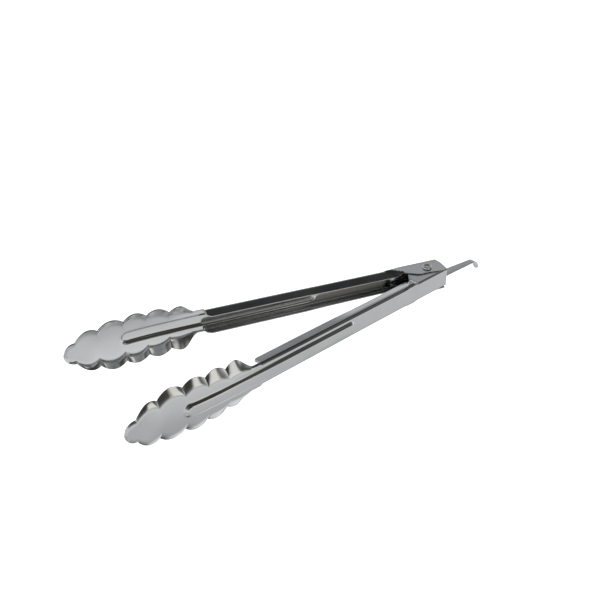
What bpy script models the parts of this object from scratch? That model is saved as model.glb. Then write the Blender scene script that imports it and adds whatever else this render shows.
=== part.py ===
"""Spring loaded serving tongs: two pressed sheet arms on one rivet, a torsion spring and a pull strip.

Every arm is drawn in its own frame: s runs from the rivet towards the tip, n points out of the arm's
back and z lies along the rivet. The two arms stand open at OPEN_ANGLE on either side of the X axis.
"""
import math

import bmesh
import bpy
from mathutils import Matrix, Vector

MM = 0.001
SMOOTH_ANGLE = math.radians(30.0)

# Whole tool
ARM_LENGTH = 290.0          # rivet axis to the tip
OPEN_ANGLE = 10.0           # half the angle between the open arms, in degrees
SHEET = 0.9                 # thickness of the arms

# Channel of the arm
BACK_OFFSET = 10.65         # rivet axis to the back's outer face
BACK_HALF_HEIGHT = 9.0      # at the rivet
BACK_TAPER = 0.0045         # growth of the half height per mm of length
TOE_IN = ((30.0, 2.8), (85.0, 2.7), (105.0, 2.2))   # lean of the flange's edge, along s
FLANGE_EDGE = 0.4           # the flange's edge, measured from the plane that halves the tool
FLANGE_END = 183.5
FLANGE_CORNER = 5.0
NOTCH_EDGE = 8.6            # level of the edge in the notch between flange and head
HEAD_START = 189.0
BEND_RADIUS = ((21.0, 1.7), (30.0, 3.3), (HEAD_START, 3.3), (210.4, 14.0))   # outside, along s

# Ears that hold the rivet
EAR_REAR = -14.0            # rear end of the ears
BACK_REAR = -12.4           # rear end of the back
EAR_ROUND = (3.5, 9.0)      # the ears' rear corners run between these two values of n
EAR_HALF_HEIGHT = {"outer": 9.2, "inner": 8.0}
EAR_RAMP = (21.0, 30.0)     # where the ears step to the height of the channel
EAR_EDGE = {                # free edge of the ear, in s and n
    "outer": ((EAR_REAR, -6.5), (-8.0, -7.0), (0.0, -6.3), (10.0, -6.0), (15.0, -3.0), (20.0, 0.0),
              (21.5, FLANGE_EDGE)),
    "inner": ((EAR_REAR, -4.6), (0.0, -5.4), (16.5, -4.4), (22.0, FLANGE_EDGE)),
}
ROUND_START = -4.0          # the rear rounding is spread over the sections behind this one

# Rib pressed into the back
RIB_START = 92.0
RIB_END = 248.0
RIB_HALF_WIDTH = 6.0
RIB_WALL = 2.7              # width of the rib's sloping side
RIB_HEIGHT = 2.0
RIB_END_RAMP = 2.4          # length of the slope at either end

# Scalloped head, as outlines in s and z. A cusp list runs from the tip to the arm.
TIP_RADIUS = 9.0
EDGE_CUSPS = ((281.2, 9.0), (264.3, 15.3), (245.0, 17.1), (227.5, 17.1), (210.4, 15.8))
EDGE_BULGES = (4.6, 4.7, 4.2, 4.0)
EDGE_SHOULDER = (202.4, 19.1)
PLATE_CUSPS = ((281.2, 6.8), (264.3, 11.5), (245.0, 13.1), (227.5, 12.0), (210.4, 9.6))
PLATE_BULGES = (4.3, 2.7, 2.7, 1.3)
PLATE_TIP = 288.2           # where the flat of the head ends at the tip
CUSP_SHARPNESS = 0.8
CROWN_TILT = 9.0            # slope of the dished flat where its bends begin, in degrees
CROWN_START = (196.0, 225.0)
CROWN_END = (262.0, 281.0)
PLATE_CURVE = ((HEAD_START, 10.65), (218.0, 10.4), (235.0, 9.5), (254.0, 7.2), (273.0, 5.0),
               (281.0, 3.8), (286.5, 2.9), (290.0, 1.7))
EDGE_CURVE = ((HEAD_START, NOTCH_EDGE), (193.0, 7.4), (199.0, 5.4), (218.0, 5.6), (230.0, 5.4),
              (242.0, 4.2), (255.0, 2.7), (270.0, 2.1), (281.0, 2.4), (290.0, 1.3))

# Rivet
SHANK_RADIUS = 2.3
HOLE_RADIUS = 2.45
HEAD_RADIUS = 3.9
HEAD_HEIGHT = 1.5
HEAD_CLEARANCE = 0.15       # between a rivet head and the outer ear
DIMPLE_RADIUS = 2.1
DIMPLE_DEPTH = 1.0

# Torsion spring
WIRE_RADIUS = 0.75
COIL_RADIUS = 4.1
COIL_BOTTOM = -1.2
COIL_TOP = 5.9
COIL_TURNS = 4.5
LEG_END = 44.0              # distance of a leg's end along its arm
LEG_BEND = 9.0              # length of the straight run in front of it
LEG_CLEARANCE = 0.35

# Pull strip with its hanging hook
STRIP_ANGLE = 5.2           # how far the strip leans towards the outer arm, in degrees
STRIP_LEVEL = -3.2          # height of the strip's middle surface
STRIP_THICKNESS = 1.2
STRIP_HALF_WIDTH = 4.4
STRIP_TAPER_START = 18.0
STRIP_BEND = 51.5
HOOK_HALF_WIDTH = 2.8
HOOK_RADIUS = 6.4           # to the middle of the sheet
HOOK_SWEEP = 80.0
HOOK_TAIL = 3.0             # straight end of the hook
SHOULDER = ((-20.0, 5.6), (-18.5, 7.1), (-13.5, 7.1), (-12.0, STRIP_HALF_WIDTH))
TRAVEL = 20.0               # how far the strip pulls out
SLOT_HALF_WIDTH = 2.7


def clear_scene():
    for obj in list(bpy.data.objects):
        bpy.data.objects.remove(obj, do_unlink=True)


def piecewise(points, x):
    """Straight lines through (x, y) points in rising x."""
    if x <= points[0][0]:
        return points[0][1]
    for (x0, y0), (x1, y1) in zip(points, points[1:]):
        if x <= x1:
            return y0 + (y1 - y0) * (x - x0) / (x1 - x0)
    return points[-1][1]


def ramp(x, start, end):
    """A smooth step from 0 at start to 1 at end."""
    u = min(max((x - start) / (end - start), 0.0), 1.0)
    return u * u * (3.0 - 2.0 * u)


def scallops(s, cusps, bulges):
    """Half width of the head between its tip cusp and its last cusp."""
    for (s0, z0), (s1, z1), bulge in zip(cusps, cusps[1:], bulges):
        if s >= s1:
            u = (s0 - s) / (s0 - s1)
            return z0 + (z1 - z0) * u + bulge * math.sin(math.pi * u) ** CUSP_SHARPNESS
    return cusps[-1][1]


def back_half_height(s, kind):
    """The corner between the back and the flange steps in or out to the ears near the rivet."""
    plain = BACK_HALF_HEIGHT + BACK_TAPER * s
    ear = EAR_HALF_HEIGHT[kind]
    return ear + (plain - ear) * ramp(s, *EAR_RAMP)


def edge_half_width(s, kind):
    """Half the distance between the two free edges of the sheet."""
    corner = back_half_height(s, kind)
    if s < FLANGE_END:
        drop = (BACK_OFFSET - edge_level(s, kind)) / (BACK_OFFSET - FLANGE_EDGE)
        return corner - piecewise(TOE_IN, s) * drop * ramp(s, *EAR_RAMP)
    if s <= HEAD_START:
        return corner
    first_cusp = EDGE_CUSPS[0][0]
    last_cusp, last_z = EDGE_CUSPS[-1]
    peak_s, peak_z = EDGE_SHOULDER
    if s < peak_s:
        return corner + (peak_z - corner) * ramp(s, HEAD_START, peak_s)
    if s < last_cusp:
        u = (s - peak_s) / (last_cusp - peak_s)
        return last_z + (peak_z - last_z) * math.cos(math.pi * u / 2) ** CUSP_SHARPNESS
    if s < first_cusp:
        return scallops(s, EDGE_CUSPS, EDGE_BULGES)
    from_centre = min((s - first_cusp) / (ARM_LENGTH - first_cusp), 1.0)
    return TIP_RADIUS * math.sqrt(max(1.0 - from_centre ** 2, 0.01))


def plate_half_width(s, kind):
    """Half width of the flat between the two bends."""
    first_cusp, first_z = PLATE_CUSPS[0]
    last_cusp, last_z = PLATE_CUSPS[-1]
    if s < HEAD_START:
        return back_half_height(s, kind)
    if s < last_cusp:
        missing = last_z - back_half_height(last_cusp, kind)
        return back_half_height(s, kind) + missing * ramp(s, HEAD_START, last_cusp)
    if s < first_cusp:
        return scallops(s, PLATE_CUSPS, PLATE_BULGES)
    from_cusp = min((s - first_cusp) / (PLATE_TIP - first_cusp), 1.0)
    return first_z * math.sqrt(max(1.0 - from_cusp ** 2, 0.004))


def edge_level(s, kind):
    """How far the free edge stands from the plane that halves the tool, along n."""
    if s <= EAR_EDGE[kind][-1][0]:
        return piecewise(EAR_EDGE[kind], s)
    if s < HEAD_START:
        left = FLANGE_END - s
        if left >= FLANGE_CORNER:
            return FLANGE_EDGE
        if left > 0.0:
            into_corner = 1.0 - left / FLANGE_CORNER
            rise = FLANGE_CORNER * (1.0 - math.sqrt(max(1.0 - into_corner ** 2, 0.0)))
            return FLANGE_EDGE + rise
        return NOTCH_EDGE
    return piecewise(EDGE_CURVE, s)


def rib_section(s):
    """Half width and height of the rib; both ends are round in plan."""
    inside = min(s - RIB_START, RIB_END - s)
    if inside <= 0.0:
        return RIB_HALF_WIDTH * 0.3, 0.0
    from_centre = max(1.0 - inside / RIB_HALF_WIDTH, 0.0)
    half_width = RIB_HALF_WIDTH * max(math.sqrt(1.0 - from_centre ** 2), 0.3)
    return half_width, RIB_HEIGHT * min(inside / RIB_END_RAMP, 1.0)


def crown_slope(s):
    """How steeply the flat of the head falls towards the middle plane where its bends begin."""
    return math.tan(math.radians(CROWN_TILT)) * ramp(s, *CROWN_START) * (1.0 - ramp(s, *CROWN_END))


def half_section(s, kind):
    """Outer face of the arm at s, from the middle of the back to the free edge, as (z, n) points."""
    corner_z = plate_half_width(s, kind)
    back_n = piecewise(PLATE_CURVE, s)
    edge_z = edge_half_width(s, kind)
    edge_n = min(edge_level(s, kind), back_n - 0.3)
    slope = crown_slope(s)
    rim_length = math.hypot(back_n - edge_n, edge_z - corner_z)
    rough_turn = math.atan2(back_n - edge_n, edge_z - corner_z) - 2 * math.atan(slope)
    tangent = min(piecewise(BEND_RADIUS, s) * math.tan(rough_turn / 2), 0.8 * rim_length, 0.35 * corner_z)
    flat_end = corner_z - tangent
    start = Vector((flat_end, back_n - slope * flat_end / 2))
    corner = Vector((corner_z, start.y - slope * tangent))
    rim_angle = math.atan2(corner.y - edge_n, edge_z - corner_z)
    weight = math.cos((rim_angle - math.atan(slope)) / 2)
    end = corner + Vector((math.cos(rim_angle), -math.sin(rim_angle))) * tangent
    bow = slope / (2 * flat_end)
    rib_half_width, rib_height = rib_section(s)
    foot = min(rib_half_width, 0.96 * flat_end)
    top = max(foot - RIB_WALL, 0.2 * foot)
    points = [(0.0, back_n + rib_height), (top, back_n + rib_height - bow * top ** 2)]
    points.append((foot, back_n - bow * foot ** 2))
    points += [tuple(point) for point in bend_points(start, corner, end, weight, 3)]
    points.append((edge_z, edge_n))
    return points


def bend_points(start, corner, end, weight, count):
    """Points of a bend that is tangent to both sides of a corner."""
    points = []
    for k in range(count + 1):
        u = k / count
        shares = ((1.0 - u) ** 2, 2.0 * u * (1.0 - u) * weight, u * u)
        points.append((start * shares[0] + corner * shares[1] + end * shares[2]) / sum(shares))
    return points


def sheet_inside(points, upright):
    """The same section moved inwards by the sheet's thickness; upright moves it straight along n."""
    inside = []
    for i, (z, n) in enumerate(points):
        before = points[i - 1] if i else (-points[1][0], points[1][1])
        after = points[i + 1] if i + 1 < len(points) else None
        first = Vector((z - before[0], n - before[1])).normalized()
        second = Vector((after[0] - z, after[1] - n)).normalized() if after else first
        normal = Vector((first.y + second.y, -first.x - second.x)).normalized()
        reach = SHEET / max(normal.dot(Vector((first.y, -first.x))), 0.6)
        normal = normal.lerp(Vector((0.0, -1.0)), upright)
        inside.append((z + reach * normal.x, n + reach * normal.y))
    return inside


def rear_shift(s, n):
    """Rounds the ears' rear corners: sections behind the rivet are drawn forward near the back."""
    if s >= ROUND_START:
        return s
    rear = EAR_REAR + (BACK_REAR - EAR_REAR) * ramp(n, *EAR_ROUND)
    return ROUND_START + (s - ROUND_START) * (rear - ROUND_START) / (EAR_REAR - ROUND_START)


def arm_stations(kind):
    """Where the arm's sections stand, closer together where the shape changes."""
    stations = {s for s, _ in EAR_EDGE[kind]} | {-12.0, -8.0, ROUND_START, 4.0, 21.0, 27.5, 31.0}
    stations = sorted(stations) + [60.0, 135.0]
    stations += [RIB_START + run for run in (0.0, RIB_END_RAMP / 2, RIB_END_RAMP, 3.0, RIB_HALF_WIDTH)]
    stations += [FLANGE_END - FLANGE_CORNER * part for part in (1.0, 0.55, 0.25, 0.08, 0.0)]
    stations += [HEAD_START, 191.5, 194.0, 196.5, 199.0, EDGE_SHOULDER[0], 205.5, 208.5]
    cusps = [s for s, _ in EDGE_CUSPS]
    for near, far in zip(cusps, cusps[1:]):
        stations += [near + (far - near) * k / 6 for k in range(1, 7)]
    stations += [RIB_END - run for run in (RIB_END_RAMP, 0.6, 0.0)]
    for angle in (0, 20, 40, 55, 68, 78, 90):
        stations.append(cusps[0] + (ARM_LENGTH - cusps[0]) * math.sin(math.radians(angle)))
    return sorted(stations)


def arm_mesh(kind):
    """Closed sheet body of one arm in its own frame."""
    first_cusp = EDGE_CUSPS[0][0]
    rings = []
    for s in arm_stations(kind):
        outer = half_section(s, kind)
        inner = sheet_inside(outer, ramp(s, first_cusp - 9.2, first_cusp))
        if s > first_cusp - 9.2:
            inner = [(min(z, point[0]), n) for (z, n), point in zip(inner, outer)]
        face = [(-z, n) for z, n in reversed(outer[1:])] + outer
        hollow = [(-z, n) for z, n in reversed(inner[1:])] + inner
        rings.append([(rear_shift(s, n), n, z) for z, n in face + hollow[::-1]])
    return loft(rings)


def loft(rings):
    """Closed body through equal rings; each end is closed by a strip between its two halves."""
    mesh = bmesh.new()
    rows = [[mesh.verts.new([value * MM for value in point]) for point in ring] for ring in rings]
    count = len(rows[0])
    for row, following in zip(rows, rows[1:]):
        for i in range(count):
            j = (i + 1) % count
            mesh.faces.new((row[i], row[j], following[j], following[i]))
    for row in (rows[0], rows[-1]):
        for i in range(count // 2 - 1):
            mesh.faces.new((row[i], row[i + 1], row[count - 2 - i], row[count - 1 - i]))
    bmesh.ops.recalc_face_normals(mesh, faces=mesh.faces[:])
    return mesh


def make_object(name, mesh, material):
    data = bpy.data.meshes.new(name)
    mesh.to_mesh(data)
    mesh.free()
    data.shade_smooth()
    data.set_sharp_from_angle(angle=SMOOTH_ANGLE)
    data.materials.append(material)
    obj = bpy.data.objects.new(name, data)
    bpy.context.scene.collection.objects.link(obj)
    return obj


def make_material(name, colour, roughness):
    material = bpy.data.materials.new(name)
    material.use_nodes = True
    shader = material.node_tree.nodes["Principled BSDF"]
    shader.inputs["Base Color"].default_value = (*colour, 1.0)
    shader.inputs["Metallic"].default_value = 1.0
    shader.inputs["Roughness"].default_value = roughness
    return material


def cylinder(radius, low, high, sides=32):
    """Upright cylinder on the rivet's axis."""
    mesh = bmesh.new()
    bmesh.ops.create_cone(mesh, cap_ends=True, segments=sides, radius1=radius * MM, radius2=radius * MM,
                          depth=(high - low) * MM)
    bmesh.ops.translate(mesh, verts=mesh.verts[:], vec=(0.0, 0.0, (low + high) / 2 * MM))
    return mesh


def cut(obj, cutter_mesh):
    """Takes the cutter's shape out of obj and removes the cutter."""
    data = bpy.data.meshes.new("cutter")
    cutter_mesh.to_mesh(data)
    cutter_mesh.free()
    cutter = bpy.data.objects.new("cutter", data)
    bpy.context.scene.collection.objects.link(cutter)
    modifier = obj.modifiers.new("hole", "BOOLEAN")
    modifier.operation = "DIFFERENCE"
    modifier.solver = "EXACT"
    modifier.object = cutter
    bpy.context.view_layer.update()
    graph = bpy.context.evaluated_depsgraph_get()
    result = bpy.data.meshes.new_from_object(obj.evaluated_get(graph))
    obj.modifiers.clear()
    obj.data = result
    bpy.data.objects.remove(cutter, do_unlink=True)


def arm_to_tool(side):
    """Turns the arm's (s, n, z) into the tool's (x, y, z); side is 1 for the +Y arm, -1 for the other."""
    angle = math.radians(OPEN_ANGLE)
    along = Vector((-math.cos(angle), side * math.sin(angle), 0.0))
    outward = Vector((math.sin(angle), side * math.cos(angle), 0.0))
    return Matrix((along, outward, (0.0, 0.0, 1.0))).transposed().to_4x4()


def build_arm(name, kind, side, material):
    arm = make_object(name, arm_mesh(kind), material)
    arm.data.transform(arm_to_tool(side))
    cut(arm, cylinder(HOLE_RADIUS, -15.0, 15.0, 40))
    mesh = bmesh.new()
    mesh.from_mesh(arm.data)
    bmesh.ops.recalc_face_normals(mesh, faces=mesh.faces[:])
    mesh.to_mesh(arm.data)
    mesh.free()
    return arm


def revolve(profile, sides):
    """Closed body of revolution about the rivet's axis; the profile's two ends lie on the axis."""
    mesh = bmesh.new()
    bottom = mesh.verts.new((0.0, 0.0, profile[0][1] * MM))
    top = mesh.verts.new((0.0, 0.0, profile[-1][1] * MM))
    turns = [2 * math.pi * k / sides for k in range(sides)]
    rows = []
    for radius, z in profile[1:-1]:
        points = [Vector((radius * math.cos(turn), radius * math.sin(turn), z)) for turn in turns]
        rows.append([mesh.verts.new(point * MM) for point in points])
    for k in range(sides):
        following = (k + 1) % sides
        mesh.faces.new((bottom, rows[0][following], rows[0][k]))
        for row, above in zip(rows, rows[1:]):
            mesh.faces.new((row[k], row[following], above[following], above[k]))
        mesh.faces.new((top, rows[-1][k], rows[-1][following]))
    bmesh.ops.recalc_face_normals(mesh, faces=mesh.faces[:])
    return mesh


def rivet_mesh():
    """Shank with a plain round head below and a dimpled head above."""
    under = EAR_HALF_HEIGHT["outer"] + HEAD_CLEARANCE
    top = under + HEAD_HEIGHT
    profile = [(0.0, -top), (HEAD_RADIUS - 0.8, -top), (HEAD_RADIUS, -top + 0.5), (HEAD_RADIUS, -under),
               (SHANK_RADIUS, -under), (SHANK_RADIUS, under), (HEAD_RADIUS, under),
               (HEAD_RADIUS, top - 0.6), (HEAD_RADIUS - 0.5, top - 0.15), (HEAD_RADIUS - 1.1, top),
               (DIMPLE_RADIUS + 0.3, top - 0.1), (DIMPLE_RADIUS, top - 0.35),
               (DIMPLE_RADIUS * 0.6, top - DIMPLE_DEPTH), (0.0, top - DIMPLE_DEPTH)]
    return revolve(profile, 24)


def spring_path():
    """Centre line of the wire: one leg, the coil round the rivet and the other leg."""
    inner_face = BACK_OFFSET - SHEET - WIRE_RADIUS - LEG_CLEARANCE
    outer_leg = arm_to_tool(1)
    inner_leg = arm_to_tool(-1)
    leg_turn = math.radians(OPEN_ANGLE + 4.0)
    start_angle = math.pi / 2 - leg_turn
    end_angle = -math.pi / 2 + leg_turn - 2 * math.pi * int(COIL_TURNS)
    path = [outer_leg @ Vector((run, inner_face, COIL_TOP)) for run in (LEG_END, LEG_END - LEG_BEND)]
    steps = int(COIL_TURNS * 14)
    for k in range(steps + 1):
        part = k / steps
        angle = start_angle + (end_angle - start_angle) * part
        height = COIL_TOP + (COIL_BOTTOM - COIL_TOP) * part
        path.append(Vector((COIL_RADIUS * math.cos(angle), COIL_RADIUS * math.sin(angle), height)))
    path += [inner_leg @ Vector((run, inner_face, COIL_BOTTOM)) for run in (LEG_END - LEG_BEND, LEG_END)]
    return path


def tube(path, radius, sides):
    """Closed round wire along a path; the rings keep the Z axis in their own plane."""
    mesh = bmesh.new()
    rows = []
    for i, point in enumerate(path):
        before = path[max(i - 1, 0)]
        after = path[min(i + 1, len(path) - 1)]
        along = (after - before).normalized()
        across = along.cross(Vector((0.0, 0.0, 1.0))).normalized()
        upward = across.cross(along)
        ring = []
        for k in range(sides):
            angle = 2 * math.pi * k / sides
            offset = across * math.cos(angle) + upward * math.sin(angle)
            ring.append(mesh.verts.new((point + radius * offset) * MM))
        rows.append(ring)
    for row, following in zip(rows, rows[1:]):
        for k in range(sides):
            mesh.faces.new((row[k], row[(k + 1) % sides], following[(k + 1) % sides], following[k]))
    mesh.faces.new(rows[0])
    mesh.faces.new(rows[-1])
    bmesh.ops.recalc_face_normals(mesh, faces=mesh.faces[:])
    return mesh


def strip_half_width(run):
    """Half width of the strip at a distance run along its middle."""
    if run < SHOULDER[-1][0]:
        return piecewise(SHOULDER, run)
    if run < STRIP_BEND:
        taper = ((STRIP_TAPER_START, STRIP_HALF_WIDTH), (STRIP_BEND - 2.0, HOOK_HALF_WIDTH))
        return piecewise(taper, run)
    hook_end = STRIP_BEND + HOOK_RADIUS * math.radians(HOOK_SWEEP) + HOOK_TAIL
    round_end = HOOK_HALF_WIDTH * 0.8
    if run <= hook_end - round_end:
        return HOOK_HALF_WIDTH
    from_centre = 1.0 - (hook_end - run) / round_end
    return HOOK_HALF_WIDTH * math.sqrt(max(1.0 - from_centre ** 2, 0.06))


def strip_point(run, across, lift):
    """A point of the strip: run along it, across it, and lifted off its middle surface."""
    x, z, slope = run, 0.0, 0.0
    if run > STRIP_BEND:
        sweep = min((run - STRIP_BEND) / HOOK_RADIUS, math.radians(HOOK_SWEEP))
        tail = run - STRIP_BEND - HOOK_RADIUS * sweep
        x = STRIP_BEND + HOOK_RADIUS * math.sin(sweep) + tail * math.cos(sweep)
        z = -HOOK_RADIUS * (1.0 - math.cos(sweep)) - tail * math.sin(sweep)
        slope = sweep
    return Vector((x + lift * math.sin(slope), across, STRIP_LEVEL + z + lift * math.cos(slope)))


def strip_mesh():
    """Flat strip with shoulders at its inner end and a hook at its outer end."""
    hook_length = HOOK_RADIUS * math.radians(HOOK_SWEEP)
    runs = [run for run, _ in SHOULDER]
    runs += [-6.0, 3.0, 10.0, STRIP_TAPER_START, 34.0, STRIP_BEND - 2.0, STRIP_BEND]
    runs += [STRIP_BEND + hook_length * k / 7 for k in range(1, 8)]
    runs += [STRIP_BEND + hook_length + HOOK_TAIL * part for part in (0.4, 0.65, 0.85, 1.0)]
    corners = ((-1, 1), (1, 1), (1, -1), (-1, -1))
    rings = []
    for run in runs:
        half = strip_half_width(run)
        rings.append([strip_point(run, side * half, face * STRIP_THICKNESS / 2) for side, face in corners])
    return loft(rings)


def slot_mesh():
    """Slot the rivet runs in, as long as the strip's travel."""
    mesh = bmesh.new()
    outline = []
    for centre, first in ((0.0, -90.0), (-TRAVEL, 90.0)):
        for k in range(13):
            angle = math.radians(first + 15.0 * k)
            outline.append((centre + SLOT_HALF_WIDTH * math.cos(angle), SLOT_HALF_WIDTH * math.sin(angle)))
    low = [mesh.verts.new((x * MM, y * MM, (STRIP_LEVEL - 3.0) * MM)) for x, y in outline]
    high = [mesh.verts.new((x * MM, y * MM, (STRIP_LEVEL + 3.0) * MM)) for x, y in outline]
    count = len(outline)
    for k in range(count):
        mesh.faces.new((low[k], low[(k + 1) % count], high[(k + 1) % count], high[k]))
    mesh.faces.new(low)
    mesh.faces.new(high)
    bmesh.ops.recalc_face_normals(mesh, faces=mesh.faces[:])
    return mesh


def build_strip(material):
    strip = make_object("lock_strip", strip_mesh(), material)
    cut(strip, slot_mesh())
    strip.data.transform(Matrix.Rotation(math.radians(STRIP_ANGLE), 4, "Z"))
    return strip


def stand_on_origin(objects):
    """Centres the tool's footprint on the origin; every part keeps its own origin on the rivet axis."""
    corners = [vertex.co for obj in objects for vertex in obj.data.vertices]
    low = Vector([min(corner[axis] for corner in corners) for axis in range(3)])
    high = Vector([max(corner[axis] for corner in corners) for axis in range(3)])
    pivot = Vector((-(low.x + high.x) / 2, -(low.y + high.y) / 2, -low.z))
    for obj in objects:
        obj.location = pivot
    print("rivet axis at", [round(value, 6) for value in pivot])


def main():
    clear_scene()
    polished = make_material("polished_steel", (0.78, 0.79, 0.80), 0.18)
    spring_steel = make_material("spring_steel", (0.55, 0.56, 0.58), 0.3)
    rivet_steel = make_material("rivet_steel", (0.80, 0.80, 0.81), 0.15)
    strip_steel = make_material("strip_steel", (0.74, 0.75, 0.76), 0.22)
    parts = [
        build_arm("outer_arm", "outer", 1, polished),
        build_arm("inner_arm", "inner", -1, polished),
        make_object("pivot_rivet", rivet_mesh(), rivet_steel),
        make_object("torsion_spring", tube(spring_path(), WIRE_RADIUS, 8), spring_steel),
        build_strip(strip_steel),
    ]
    stand_on_origin(parts)


main()
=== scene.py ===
# Fine surfaces, materials, light and camera for the spring loaded serving tongs.
#
# Every arm is drawn in its own frame, in millimetres: s runs from the rivet towards the tip, n points
# out of the arm's back and z lies along the rivet.

import math

import bmesh
import bpy
from mathutils import Matrix, Vector

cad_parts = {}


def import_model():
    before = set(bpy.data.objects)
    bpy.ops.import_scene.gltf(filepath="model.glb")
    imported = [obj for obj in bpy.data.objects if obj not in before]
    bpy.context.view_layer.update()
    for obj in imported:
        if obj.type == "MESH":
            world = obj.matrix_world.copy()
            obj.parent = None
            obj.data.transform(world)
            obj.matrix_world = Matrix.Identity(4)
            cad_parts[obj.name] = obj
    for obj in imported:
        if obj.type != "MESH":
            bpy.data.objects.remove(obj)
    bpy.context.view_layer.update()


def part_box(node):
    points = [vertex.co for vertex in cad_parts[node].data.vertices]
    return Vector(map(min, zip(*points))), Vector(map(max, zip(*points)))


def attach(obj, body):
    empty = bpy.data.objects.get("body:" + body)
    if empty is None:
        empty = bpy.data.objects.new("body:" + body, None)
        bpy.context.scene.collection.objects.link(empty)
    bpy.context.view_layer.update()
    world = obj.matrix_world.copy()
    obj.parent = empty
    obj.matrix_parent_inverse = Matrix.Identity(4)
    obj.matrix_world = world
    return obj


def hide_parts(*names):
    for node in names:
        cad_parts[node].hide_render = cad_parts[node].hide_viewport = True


MM = 0.001

# Whole tool
ARM_LENGTH = 290.0
OPEN_ANGLE = 10.0           # half the angle between the open arms, in degrees
SHEET = 0.9

# Channel of the arm
BACK_HALF_HEIGHT = 9.0
BACK_TAPER = 0.0045
BACK_OFFSET = 10.65
TOE_IN = ((30.0, 2.8), (85.0, 2.7), (105.0, 2.2))   # lean of the flange's edge, along s
FLANGE_EDGE = 0.4           # the flange's edge, measured from the plane that halves the tool
FLANGE_END = 183.5
FLANGE_CORNER = 5.0
NOTCH_EDGE = 8.6
HEAD_START = 189.0
BEND_RADIUS = ((21.0, 1.7), (30.0, 2.6), (HEAD_START, 2.6), (210.4, 14.0))   # outside, along s

# Ears that hold the rivet
EAR_REAR = -14.0            # rear end of the ears
BACK_REAR = -12.4           # rear end of the back
EAR_ROUND = (3.5, 9.0)      # the ears' rear corners run between these two values of n
EAR_HALF_HEIGHT = {"outer": 9.2, "inner": 8.0}
EAR_RAMP = (21.0, 26.0)     # where the ears step to the height of the channel
CREASE = (19.5, 1.25, 3.5)  # the lean starts at this s, later by this much per mm of n, over this length
EAR_EDGE = {                # free edge of the ear, in s and n
    "outer": ((EAR_REAR, -6.5), (-8.0, -7.0), (0.0, -6.3), (10.0, -6.0), (15.0, -3.0), (20.0, 0.0),
              (21.5, FLANGE_EDGE)),
    "inner": ((EAR_REAR, -4.6), (0.0, -5.4), (16.5, -4.4), (22.0, FLANGE_EDGE)),
}
ROUND_START = -4.0          # the rear rounding is spread over the sections behind this one

# Rib pressed into the back
RIB_START = 91.6
RIB_END = 248.4
RIB_HALF_WIDTH = 6.0
RIB_WALL = 3.0              # width of the rib's sloping side
RIB_HEIGHT = 1.9
RIB_GRID = (0.0, 1.2, 2.2, 3.0, 3.3, 3.6, 3.9, 4.2, 4.5, 4.8, 5.1, 5.4, 5.7, 6.0)   # mesh lines, in z
RIB_MARGIN = 0.4            # mesh lines are squeezed where the flat is narrower than the rib and this

# Mesh of a section: steps over the flat beside the rib, over the bend and over the rim
FLAT_STEPS = 5
BEND_STEPS = 10
RIM_STEPS = 5
BEND_LIMITS = (0.8, 0.35)   # a bend takes at most these shares of the rim and of the flat's half width
LEAST_RIM = 0.3             # the free edge stays at least this far below the back

# Free edges of the sheet
EDGE_ROUND = 0.14
EDGE_POINTS = 5

# Scalloped head, as outlines in s and z. A cusp list runs from the tip to the arm.
TIP_RADIUS = 9.0
EDGE_CUSPS = ((281.2, 9.0), (264.3, 15.3), (245.0, 17.1), (227.5, 17.1), (210.4, 15.8))
EDGE_BULGES = (4.6, 4.7, 4.2, 4.0)
EDGE_SHOULDER = (202.4, 19.1)
PLATE_CUSPS = ((281.2, 6.8), (264.3, 11.5), (245.0, 13.1), (227.5, 12.0), (210.4, 9.6))
PLATE_BULGES = (4.3, 2.7, 2.7, 1.3)
PLATE_TIP = 288.2
CUSP_SHARPNESS = 0.8
CROWN_TILT = 9.0            # slope of the dished flat where its bends begin, in degrees
CROWN_START = (196.0, 225.0)
CROWN_END = (262.0, 281.0)
PLATE_CURVE = ((HEAD_START, 10.65), (218.0, 10.4), (235.0, 9.5), (254.0, 7.2), (273.0, 5.0),
               (281.0, 3.8), (286.5, 2.9), (290.0, 1.7))
EDGE_CURVE = ((HEAD_START, NOTCH_EDGE), (193.0, 7.4), (199.0, 5.4), (218.0, 5.6), (230.0, 5.4),
              (242.0, 4.2), (255.0, 2.7), (270.0, 2.1), (281.0, 2.4), (290.0, 1.3))

# Rivet
SHANK_RADIUS = 2.3
HOLE_RADIUS = 2.45
HOLE_SIDES = 48
CUT_REACH = 15.0            # the cut through the ears runs this far above and below the middle
HEAD_RADIUS = 3.9
HEAD_HEIGHT = 1.5
HEAD_CLEARANCE = 0.15
DIMPLE_RADIUS = 2.1
DIMPLE_DEPTH = 0.95
DIMPLE_DISH = 0.12          # the dimple's middle is this much deeper than its rim
RIVET_SIDES = 64

# Torsion spring
WIRE_RADIUS = 0.75
WIRE_SIDES = 16
COIL_RADIUS = 4.1
COIL_BOTTOM = -1.2
COIL_TOP = 5.9
COIL_TURNS = 4.5
COIL_STEPS = 40             # mesh steps in a turn
COIL_LEAD = 4.0             # added to the arms' angle where the wire enters and leaves the coil
LEG_END = 44.0
LEG_BEND = 9.0              # from the leg's end to where it turns away from the arm
LEG_CLEARANCE = 0.35

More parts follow.
